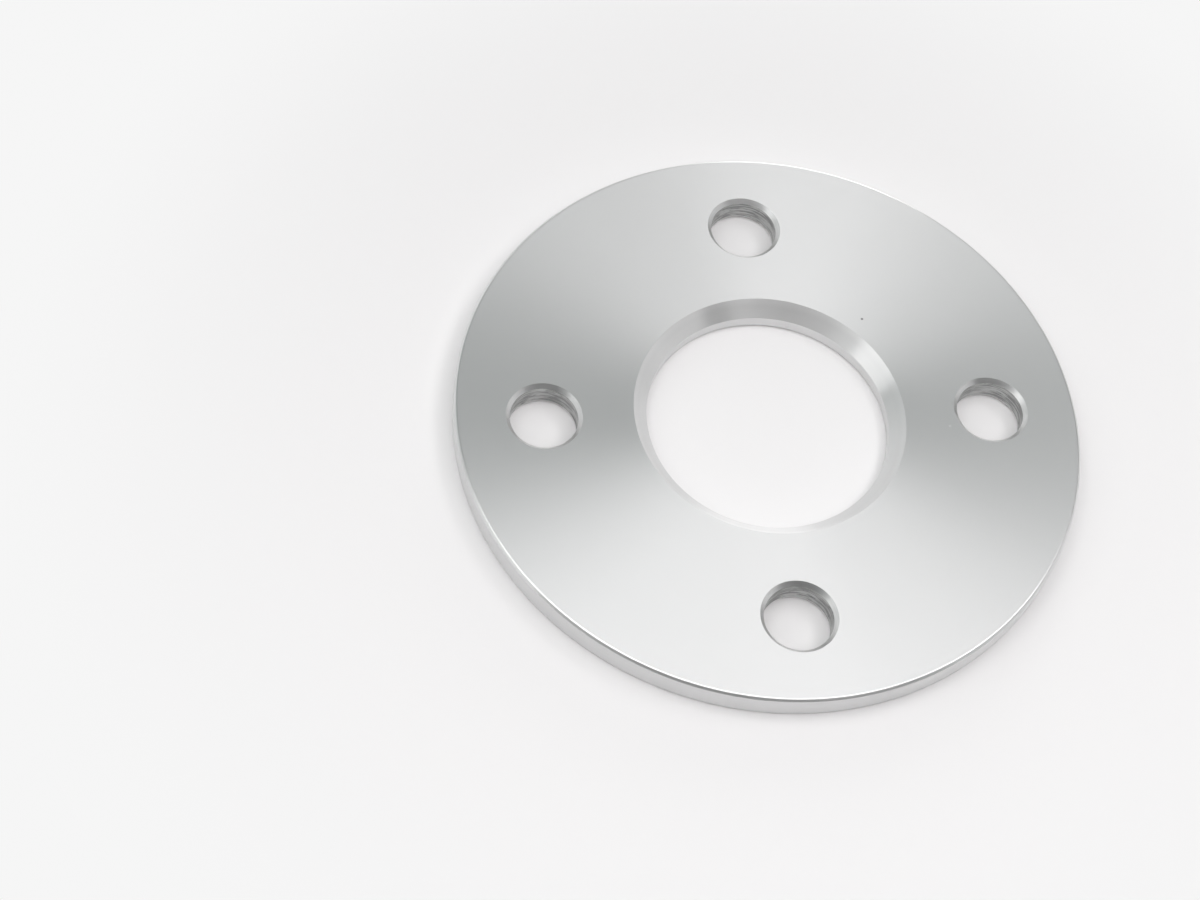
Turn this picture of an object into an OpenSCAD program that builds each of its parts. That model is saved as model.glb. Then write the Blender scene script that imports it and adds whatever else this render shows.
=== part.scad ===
// Slip-on wheel spacer: one aluminium disc, turned from plate and drilled for the wheel studs.
// It goes between a wheel and its hub. The axis is Z. The wheel face lies on z = 0, and the
// hub face, with the wide chamfer that clears the root of the hub's spigot, is on top.

/* [Disc] */
// Outer diameter
outer_d = 139; // [132:0.5:160]
// Thickness, the distance that the wheel moves outwards
thickness = 6.5; // [5.5:0.5:20]
// Leg of the 45 degree chamfer round the outer edge of each face
rim_chamfer = 0.5; // [0.2:0.1:1]

/* [Hub bore] */
// Diameter of the hub's spigot
spigot_d = 54.1; // [50:0.1:66]
// Diametral clearance of the bore on the spigot
spigot_clearance = 0.1; // [0.05:0.05:0.5]
// Leg of the wide 45 degree chamfer at the hub face
hub_side_chamfer = 3.2; // [1:0.1:4]
// Leg of the small 45 degree chamfer at the wheel face
wheel_side_chamfer = 0.6; // [0.2:0.1:1]

/* [Stud holes] */
// Number of wheel studs
stud_count = 4; // [3:1:6]
// Diameter of the circle that the studs stand on
pitch_circle_d = 100; // [98:0.1:108]
// Diameter of a wheel stud
stud_d = 12; // [10:0.5:14]
// Diametral clearance of a hole round its stud
stud_clearance = 3; // [0.5:0.1:3.5]
// Leg of the 45 degree chamfer at both mouths of a hole
hole_chamfer = 0.9; // [0.3:0.1:1.2]

/* [Hidden] */

outer_r = outer_d / 2;
bore_r = (spigot_d + spigot_clearance) / 2;
hole_r = (stud_d + stud_clearance) / 2;

// How far a drill runs past each face
overrun = 1;

// Facets of the turned surfaces and of the drilled ones
turned_fn = 240;
drilled_fn = 96;

aluminium = [0.74, 0.75, 0.75];

// Half section of the disc, as it is turned
module turned_section() {
    polygon([
        [bore_r + wheel_side_chamfer, 0],
        [outer_r - rim_chamfer, 0],
        [outer_r, rim_chamfer],
        [outer_r, thickness - rim_chamfer],
        [outer_r - rim_chamfer, thickness],
        [bore_r + hub_side_chamfer, thickness],
        [bore_r, thickness - hub_side_chamfer],
        [bore_r, wheel_side_chamfer]
    ]);
}

// Half section of one hole: the drill, opened at both faces by the countersink
module drilled_section() {
    mouth_r = hole_r + hole_chamfer;
    polygon([
        [0, -overrun],
        [mouth_r + overrun, -overrun],
        [mouth_r, 0],
        [hole_r, hole_chamfer],
        [hole_r, thickness - hole_chamfer],
        [mouth_r, thickness],
        [mouth_r + overrun, thickness + overrun],
        [0, thickness + overrun]
    ]);
}

module stud_holes() {
    for (i = [0 : stud_count - 1])
        rotate(i * 360 / stud_count)
            translate([pitch_circle_d / 2, 0, 0])
                rotate_extrude($fn = drilled_fn) drilled_section();
}

module spacer_disc() {
    color(aluminium)
        difference() {
            rotate_extrude($fn = turned_fn) turned_section();
            stud_holes();
        }
}

spacer_disc();
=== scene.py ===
import math

import bpy
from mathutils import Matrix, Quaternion, Vector


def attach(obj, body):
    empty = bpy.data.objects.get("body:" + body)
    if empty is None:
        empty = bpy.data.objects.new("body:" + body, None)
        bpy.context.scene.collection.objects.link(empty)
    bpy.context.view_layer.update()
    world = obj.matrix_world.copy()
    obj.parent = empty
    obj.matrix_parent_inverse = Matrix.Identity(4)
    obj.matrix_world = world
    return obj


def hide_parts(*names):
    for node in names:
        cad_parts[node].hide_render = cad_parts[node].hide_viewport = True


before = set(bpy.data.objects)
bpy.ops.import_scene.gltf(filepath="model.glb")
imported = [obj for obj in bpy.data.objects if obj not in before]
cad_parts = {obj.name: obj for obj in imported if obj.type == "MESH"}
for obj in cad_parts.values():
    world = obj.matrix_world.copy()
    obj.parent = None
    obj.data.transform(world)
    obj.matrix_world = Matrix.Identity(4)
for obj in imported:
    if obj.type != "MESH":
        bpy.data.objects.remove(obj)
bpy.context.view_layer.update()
mm = 0.001
print("frame loaded:", sorted(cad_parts))


# Shader maths: a Wire is one socket, and sums of wires and numbers add Math nodes
class Wire:
    def __init__(self, tree, socket=None):
        self.tree = tree
        self.socket = socket

    def node(self, kind, settings=None, feeds=None, out=0):
        made = self.tree.nodes.new("ShaderNode" + kind)
        for key, value in (settings or {}).items():
            setattr(made, key, value)
        for key, value in (feeds or {}).items():
            if isinstance(value, Wire):
                self.tree.links.new(value.socket, made.inputs[key])
            else:
                made.inputs[key].default_value = value
        return Wire(self.tree, made.outputs[out]) if len(made.outputs) else made

    def maths(self, operation, *terms):
        return self.node("Math", {"operation": operation}, dict(enumerate(terms)))

    def __add__(self, other):
        return self.maths("ADD", self, other)

    def __sub__(self, other):
        return self.maths("SUBTRACT", self, other)

    def __rsub__(self, other):
        return self.maths("SUBTRACT", other, self)

    def __mul__(self, other):
        return self.maths("MULTIPLY", self, other)

    def __truediv__(self, other):
        return self.maths("DIVIDE", self, other)

    def __rtruediv__(self, other):
        return self.maths("DIVIDE", other, self)

    __radd__ = __add__
    __rmul__ = __mul__


def newMaterial(name):
    material = bpy.data.materials.new(name)
    material.use_nodes = True
    material.node_tree.nodes.clear()
    return material, Wire(material.node_tree)


def finishMaterial(start, shader):
    start.node("OutputMaterial", feeds={"Surface": shader})


def ringNoise(along, look):  # bands along one way, which is in mm
    return along.node("TexNoise", {"noise_dimensions": "1D"}, {
        "W": along / look["pitch"], "Scale": 1.0,
        "Detail": look["detail"], "Roughness": look["rough"]})


def ramp(value, limits, ends=(0.0, 1.0), curve="SMOOTHSTEP"):
    return value.node("MapRange", {"interpolation_type": curve}, {
        "Value": value, "From Min": limits[0], "From Max": limits[1],
        "To Min": ends[0], "To Max": ends[1]})


def blend(start, share, first, second, way="MIX"):
    return start.node("Mix", {"data_type": "RGBA", "blend_type": way},
                      {0: share, 6: first, 7: second}, out=2)


# Turned surfaces: rings round the axis, from the feed of the tool and from the drift of the cut
turned = {
    "face": {"colour": (0.830, 0.834, 0.836, 1), "roughness": 0.507, "stretch": 0.839,
             "depth": 0.0015, "wave": 0.0, "fine": 0.05, "rings": 0.05, "patches": 0.02},
    "chamfer": {"colour": (0.798, 0.799, 0.800, 1), "roughness": 0.295, "stretch": 0.865,
                "depth": 0.0, "wave": 0.012, "fine": 0.0, "rings": 0.09, "patches": 0.06},
    "edge": {"colour": (0.798, 0.799, 0.800, 1), "roughness": 0.285, "stretch": 0.821,
             "depth": 0.0, "wave": 0.0, "fine": 0.0, "rings": 0.02, "patches": 0.06},
    "rim": {"colour": (0.755, 0.757, 0.759, 1), "roughness": 0.332, "stretch": 0.85,
            "depth": 0.0020, "wave": 0.0, "fine": 0.07, "rings": 0.07, "patches": 0.08},
}
rings = {  # pitches in mm
    "feed": {"pitch": 0.22, "detail": 2.0, "rough": 0.6},
    "drift": {"pitch": 1.9, "detail": 3.0, "rough": 0.55},
    "patch": {"pitch": 11.0, "detail": 2.0},
    "slope": 0.62,  # share of the height, so that walls and chamfers have rings too
    "gloss": 0.5,  # how far the marks change the roughness
    "relief": 0.5,  # strength of the bump
    "turn": 0.25,  # a quarter turn, so that the gloss spreads across the rings
}
nicks = [  # small marks in the hub face: place and radius in mm, shade
    {"place": (24.13, 24.48, 6.5), "radius": 0.30, "shade": 0.35},
    {"place": (39.93, -4.14, 6.5), "radius": 0.32, "shade": 1.14},
]
nickFade = (0.6, 1.2)  # of the radius


def turnedMaterial(name, look):
    material, start = newMaterial("turned " + name)
    place = start.node("TexCoord", out="Object")
    x, y, z = (start.node("SeparateXYZ", feeds={0: place}, out=axis) for axis in "XYZ")
    radius = (x * x + y * y).maths("SQRT")
    across = (radius + rings["slope"] * z) / mm
    feed = ringNoise(across, rings["feed"]) - 0.5
    drift = ringNoise(across, rings["drift"]) - 0.5
    patch = start.node("TexNoise", feeds={
        "Vector": place, "Scale": 1 / (rings["patch"]["pitch"] * mm),
        "Detail": rings["patch"]["detail"]}) - 0.5
    marks = look["fine"] * feed + look["rings"] * drift + look["patches"] * patch
    shade = 1 + marks
    if name == "face":
        for nick in nicks:
            away = start.node("VectorMath", {"operation": "DISTANCE"},
                              {0: place, 1: Vector(nick["place"]) * mm}, out="Value")
            hit = ramp(away / (nick["radius"] * mm), nickFade, (1.0, 0.0))
            shade = shade + hit * (nick["shade"] - 1)
    grey = start.node("CombineColor", feeds={0: shade, 1: shade, 2: shade})
    tint = blend(start, 1.0, look["colour"], grey, "MULTIPLY")
    height = look["depth"] * feed + look["wave"] * drift
    bump = start.node("Bump", feeds={
        "Strength": rings["relief"], "Distance": mm, "Height": height})
    shader = start.node("BsdfPrincipled", feeds={
        "Base Color": tint, "Metallic": 1.0, "Roughness": look["roughness"] + rings["gloss"] * marks,
        "Anisotropic": look["stretch"], "Anisotropic Rotation": rings["turn"], "Normal": bump})
    finishMaterial(start, shader)
    return material


# Drilled surfaces: streaks round the hole, torn in places by the drill, and a painted highlight at
# the foot
drilled = {
    # the drilled wall colours are darker than the bare metal partly for the drill's real streaks and
    # tears, and partly as painted shade inside the hole
    "drilled": {"colour": (0.512, 0.520, 0.516, 1), "dark": (0.188, 0.192, 0.190, 1),
                "footHighlight": (0.80, 0.80, 0.80, 1), "roughness": 0.36, "groove": 0.002, "depth": 0.008,
                "streaks": 0.8, "torn": 0.9},
    "countersink": {"colour": (0.84, 0.84, 0.84, 1), "dark": (0.61, 0.61, 0.61, 1),
                    "footHighlight": (0.82, 0.82, 0.82, 1), "roughness": 0.335, "groove": 0.008, "depth": 0.001,
                    "streaks": 0.25, "torn": 0.3},
}
cutMarks = {  # lengths in mm; flat is how much shorter a mark is along the hole than round it
    "groove": {"pitch": 0.08, "detail": 1.0, "rough": 0.65},
    "ring": {"pitch": 0.6, "detail": 3.0, "rough": 0.65},
    "streak": {"length": 5.0, "flat": 7.0, "detail": 3.0, "rough": 0.6},
    "tear": {"length": 2.6, "flat": 4.0, "detail": 3.0, "rough": 0.6},
    "ringShare": 0.35, "streakShare": 0.65,
    "streaked": (0.43, 0.56), "torn": (0.57, 0.70),  # where in the noise a mark starts and is full
    "footHighlight": (1.0, 1.15),  # heights between which the painted highlight at the foot fades
    "dull": 0.15,  # roughness added where it is torn
}


def drilledMaterial(name, look):
    material, start = newMaterial(name + " hole")
    place = start.node("TexCoord", out="Object")
    height = start.node("SeparateXYZ", feeds={0: place}, out="Z") / mm

    def blotches(mark):
        squeezed = start.node("Mapping", feeds={"Vector": place, "Scale": (1.0, 1.0, mark["flat"])})
        return start.node("TexNoise", feeds={
            "Vector": squeezed, "Scale": 1 / (mark["length"] * mm),
            "Detail": mark["detail"], "Roughness": mark["rough"]})

    grain = (cutMarks["ringShare"] * ringNoise(height, cutMarks["ring"])
             + cutMarks["streakShare"] * blotches(cutMarks["streak"]))
    tear = blotches(cutMarks["tear"])
    streaked = ramp(grain, cutMarks["streaked"], (0.0, look["streaks"]))
    torn = ramp(tear, cutMarks["torn"], (0.0, look["torn"]))
    # painted highlight: the wall's colour turns lighter near its foot, standing in for light
    # reflected there
    footHighlight = ramp(height, cutMarks["footHighlight"], (1.0, 0.0), "LINEAR")
    metal = blend(start, start.maths("MAXIMUM", streaked, torn), look["colour"], look["dark"])
    tint = blend(start, footHighlight, metal, look["footHighlight"])
    grooves = ringNoise(height, cutMarks["groove"])
    relief = look["groove"] * grooves + look["depth"] * (grain + tear)
    bump = start.node("Bump", feeds={"Strength": 1.0, "Distance": mm, "Height": relief})
    shader = start.node("BsdfPrincipled", feeds={
        "Base Color": tint, "Metallic": 1.0,
        "Roughness": look["roughness"] + cutMarks["dull"] * torn, "Normal": bump})
    finishMaterial(start, shader)
    return material


# Mesh helpers
def nameNew(name):
    made = bpy.context.object
    made.name = made.data.name = name
    return made


def alone(piece):
    if bpy.context.object and bpy.context.object.mode != "OBJECT":
        bpy.ops.object.mode_set(mode="OBJECT")
    bpy.ops.object.select_all(action="DESELECT")
    piece.select_set(True)
    bpy.context.view_layer.objects.active = piece


def pick(piece, wanted, what="vertices"):
    bpy.ops.object.mode_set(mode="EDIT")
    bpy.ops.mesh.select_mode(type={"vertices": "VERT", "edges": "EDGE", "polygons": "FACE"}[what])
    bpy.ops.mesh.select_all(action="DESELECT")
    bpy.ops.object.mode_set(mode="OBJECT")
    for part in getattr(piece.data, what):
        part.select = wanted(part)
    bpy.ops.object.mode_set(mode="EDIT")


# The disc: a half section, broken at its corners and spun round the axis; sizes in mm
disc = {
    "outerRadius": 69.5, "boreRadius": 27.1, "thickness": 6.5, "turns": 360,
    "rimChamfer": 0.5, "hubChamfer": 3.2, "wheelChamfer": 0.6,
    "worn": 0.2, "wornSteps": 5,  # the corner between a face and the outer chamfer, along each side
    "touch": 0.01, "merge": 0.001,  # how near counts as a corner, and as one point
    "smooth": 14,  # degrees
}
studHole = {
    "count": 4, "pitchRadius": 50.0, "radius": 7.5, "chamfer": 0.9, "turns": 144,
    "overrun": 1.0,  # how far the countersink runs on past the face
}
upright = {"flat": 0.999, "drilled": 0.2, "wall": 0.01}  # upward share of a face's normal


def makeDisc():
    outer, inner, height = disc["outerRadius"], disc["boreRadius"], disc["thickness"]
    middle = Vector(((outer + inner) / 2, 0, height / 2)) * mm
    bpy.ops.object.select_all(action="DESELECT")
    bpy.ops.mesh.primitive_plane_add(size=mm, rotation=(math.pi / 2, 0, 0), location=middle)
    piece = nameNew("spacer")
    piece.scale = (outer - inner, height, 1)
    alone(piece)
    bpy.ops.object.transform_apply(location=True, rotation=True, scale=True)
    rim = outer - disc["rimChamfer"]
    breaks = [  # place in the section, size, steps
        ((outer, height), "rimChamfer", 1), ((outer, 0), "rimChamfer", 1),
        ((inner, height), "hubChamfer", 1), ((inner, 0), "wheelChamfer", 1),
        ((rim, height), "worn", disc["wornSteps"]), ((rim, 0), "worn", disc["wornSteps"]),
    ]
    for (across, up), size, steps in breaks:
        corner = Vector((across, 0, up)) * mm
        pick(piece, lambda v: (v.co - corner).length < disc["touch"] * mm)
        bpy.ops.mesh.bevel(offset=disc[size] * mm, segments=steps, affect="VERTICES")
        bpy.ops.object.mode_set(mode="OBJECT")
    pick(piece, lambda v: True)
    bpy.ops.mesh.delete(type="ONLY_FACE")
    bpy.ops.mesh.select_all(action="SELECT")
    bpy.ops.mesh.spin(steps=disc["turns"], angle=2 * math.pi, center=(0, 0, 0), axis=(0, 0, 1))
    bpy.ops.mesh.select_all(action="SELECT")
    bpy.ops.mesh.remove_doubles(threshold=disc["merge"] * mm)
    bpy.ops.mesh.normals_make_consistent(inside=False)
    bpy.ops.object.mode_set(mode="OBJECT")
    return piece


def makeDrill():
    straight = disc["thickness"] - 2 * studHole["chamfer"]
    bpy.ops.object.select_all(action="DESELECT")
    bpy.ops.mesh.primitive_cylinder_add(
        vertices=studHole["turns"], radius=studHole["radius"] * mm,
        depth=straight * mm, location=(0, 0, disc["thickness"] / 2 * mm))
    drill = nameNew("drill")
    alone(drill)
    bpy.ops.object.transform_apply(location=True, rotation=True, scale=True)
    rise = studHole["chamfer"] + studHole["overrun"]
    widen = 1 + rise / studHole["radius"]
    for level in (1, -1):
        pick(drill, lambda f: f.normal.z * level > upright["flat"], "polygons")
        bpy.ops.mesh.extrude_region_move(TRANSFORM_OT_translate={"value": (0, 0, rise * level * mm)})
        bpy.ops.transform.resize(value=(widen, widen, 1))
        bpy.ops.object.mode_set(mode="OBJECT")
    return drill


def drillHoles(piece, drill):
    for i in range(studHole["count"]):
        turn = 2 * math.pi * i / studHole["count"]
        alone(drill)
        bpy.ops.object.duplicate()
        cutter = bpy.context.object
        cutter.location = Vector((math.cos(turn), math.sin(turn), 0)) * studHole["pitchRadius"] * mm
        cutter.rotation_euler.z = turn
        bpy.ops.object.transform_apply(location=True, rotation=True, scale=True)
        alone(piece)
        bpy.ops.object.modifier_add(type="BOOLEAN")
        cut = piece.modifiers[-1]
        cut.operation, cut.solver, cut.object = "DIFFERENCE", "EXACT", cutter
        bpy.ops.object.modifier_apply(modifier=cut.name)
        bpy.data.objects.remove(cutter)
    bpy.data.objects.remove(drill)


def finishFor(polygon):
    centre, tilt = polygon.center / mm, abs(polygon.normal.z)
    if tilt > upright["flat"]:
        return "face"
    holeTurn = 2 * math.pi / studHole["count"]
    nearest = round(math.atan2(centre.y, centre.x) / holeTurn) * holeTurn
    hole = Vector((math.cos(nearest), math.sin(nearest))) * studHole["pitchRadius"]
    if (centre.xy - hole).length < studHole["radius"] + studHole["chamfer"]:
        return "drilled" if tilt < upright["drilled"] else "countersink"
    if tilt < upright["wall"]:
        return "rim"
    return "edge" if centre.xy.length > studHole["pitchRadius"] else "chamfer"


spacer = makeDisc()
drillHoles(spacer, makeDrill())
finishes = {name: turnedMaterial(name, look) for name, look in turned.items()}
finishes.update({name: drilledMaterial(name, look) for name, look in drilled.items()})
order = list(finishes)
for name in order:
    spacer.data.materials.append(finishes[name])
for polygon in spacer.data.polygons:
    polygon.material_index = order.index(finishFor(polygon))
alone(spacer)
bpy.ops.object.shade_smooth_by_angle(angle=math.radians(disc["smooth"]))
sides = {}  # the finishes that meet at each edge
for polygon in spacer.data.polygons:
    for key in polygon.edge_keys:
        sides.setdefault(key, set()).add(polygon.material_index)
pick(spacer, lambda e: len(sides[e.key]) > 1, "edges")
bpy.ops.mesh.mark_sharp()  # so that the worn corner doesn't shade the flat face
bpy.ops.object.mode_set(mode="OBJECT")
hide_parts("spacer_disc")
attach(spacer, "root")
print("spacer:", len(spacer.data.polygons), "faces")

# Floor: plain pale paper, which stays as pale far off, where the lamps don't reach
ground = {
    "size": 6.0, "drop": 0.00005, "colour": (0.948, 0.938, 0.943, 1), "roughness": 0.9, "gloss": 0.2,
    "far": (0.92, 0.92, 0.92, 1), "fade": (0.085, 0.17),
}
bpy.ops.object.select_all(action="DESELECT")
bpy.ops.mesh.primitive_plane_add(size=ground["size"], location=(0, 0, -ground["drop"]))
floor = nameNew("floor")
paper, start = newMaterial("pale paper")
near = start.node("BsdfPrincipled", feeds={
    "Base Color": ground["colour"], "Roughness": ground["roughness"],
    "Specular IOR Level": ground["gloss"]})
far = start.node("Emission", feeds={"Color": ground["far"], "Strength": 1.0})
place = start.node("TexCoord", out="Object")
away = start.node("VectorMath", {"operation": "LENGTH"}, {0: place}, out="Value")
seen = sum(start.node("LightPath", out="Is " + ray + " Ray")
           for ray in ("Camera", "Glossy", "Transmission"))
share = ramp(away, ground["fade"]) * seen
finishMaterial(start, start.node("MixShader", feeds={0: share, 1: near, 2: far}))
floor.data.materials.append(paper)
print("floor laid")

# Light: a pale even horizon, a darker room above it, and five soft boxes
room = {
    "tint": (0.965, 1.027, 1.008, 1), "horizon": 0.92, "overhead": 0.153, "darkest": 0.05,
    "rise": (0.19, 0.309),  # between these heights the horizon gives way to the room
    "lean": (-0.197, 0.290, 0.0),  # the way in which the room gets lighter
}
world = bpy.data.worlds.new("studio")
bpy.context.scene.world = world
world.use_nodes = True
world.node_tree.nodes.clear()
start = Wire(world.node_tree)
direction = start.node("TexCoord", out="Generated")
height = start.node("SeparateXYZ", feeds={0: direction}, out="Z")
above = ramp(height, room["rise"], curve="LINEAR")
lean = start.node("VectorMath", {"operation": "DOT_PRODUCT"},
                  {0: direction, 1: room["lean"]}, out="Value")
level = room["horizon"] + above * (lean + (room["overhead"] - room["horizon"]))
background = start.node("Background", feeds={
    "Color": blend(start, above, (1, 1, 1, 1), room["tint"]),
    "Strength": start.maths("MAXIMUM", level, room["darkest"])})
start.node("OutputWorld", feeds={"Surface": background})

lampTint = (1.01, 0.996, 0.996)
softBoxes = {  # place and aim, turn about the aim in degrees, width and length, radiance
    "overhead box": {"place": (-0.024, -0.1336, 0.5606), "aim": (-0.024, -0.1336, 0), "turn": -17.9,
                     "size": (0.799, 0.500), "radiance": 2.06},
    "right box": {"place": (0.3991, 0.1624, 0.674), "aim": (0, 0, 0), "turn": 0,
                  "size": (0.377, 0.222), "radiance": 3.15},
    "left box": {"place": (-0.802, -0.0204, 0.597), "aim": (0, 0, 0), "turn": 0,
                 "size": (0.530, 0.370), "radiance": 1.16},
    "low box": {"place": (0.8518, -0.238, 0.4666), "aim": (0, 0, 0), "turn": 0,
                "size": (0.796, 0.362), "radiance": 0.50},
    "back box": {"place": (0.3116, 0.9232, 0.225), "aim": (0, 0, 0), "turn": 0,
                 "size": (0.354, 0.498), "radiance": 2.50},
}


def pointAt(thing, look, turn):
    sight = Vector(look["aim"]) - Vector(look["place"])
    thing.rotation_mode = "QUATERNION"
    thing.rotation_quaternion = (sight.to_track_quat("-Z", "Y")
                                 @ Quaternion((0, 0, 1), math.radians(turn)))


for name, box in softBoxes.items():
    width, length = box["size"]
    bpy.ops.object.light_add(type="AREA", location=box["place"])
    lamp = bpy.context.object
    lamp.name = name
    lamp.data.shape = "RECTANGLE"
    lamp.data.size, lamp.data.size_y = width, length
    lamp.data.energy = box["radiance"] * math.pi * width * length
    lamp.data.color = lampTint
    lamp.visible_camera = False
    pointAt(lamp, box, box["turn"])

# Camera: the photograph's view of the disc
view = {
    "place": (-0.11178, -0.27040, 0.44671), "aim": (-0.03861, -0.00883, 0.0065), "roll": 12.445,
    "lens": 72.062, "sensor": 36.0, "clip": (0.01, 50),
}
bpy.ops.object.camera_add(location=view["place"])
camera = bpy.context.object
camera.data.lens, camera.data.sensor_width = view["lens"], view["sensor"]
camera.data.clip_start, camera.data.clip_end = view["clip"]
pointAt(camera, view, view["roll"])
bpy.context.scene.camera = camera
bpy.context.scene.view_settings.view_transform = "Standard"
print("camera and lights in place")
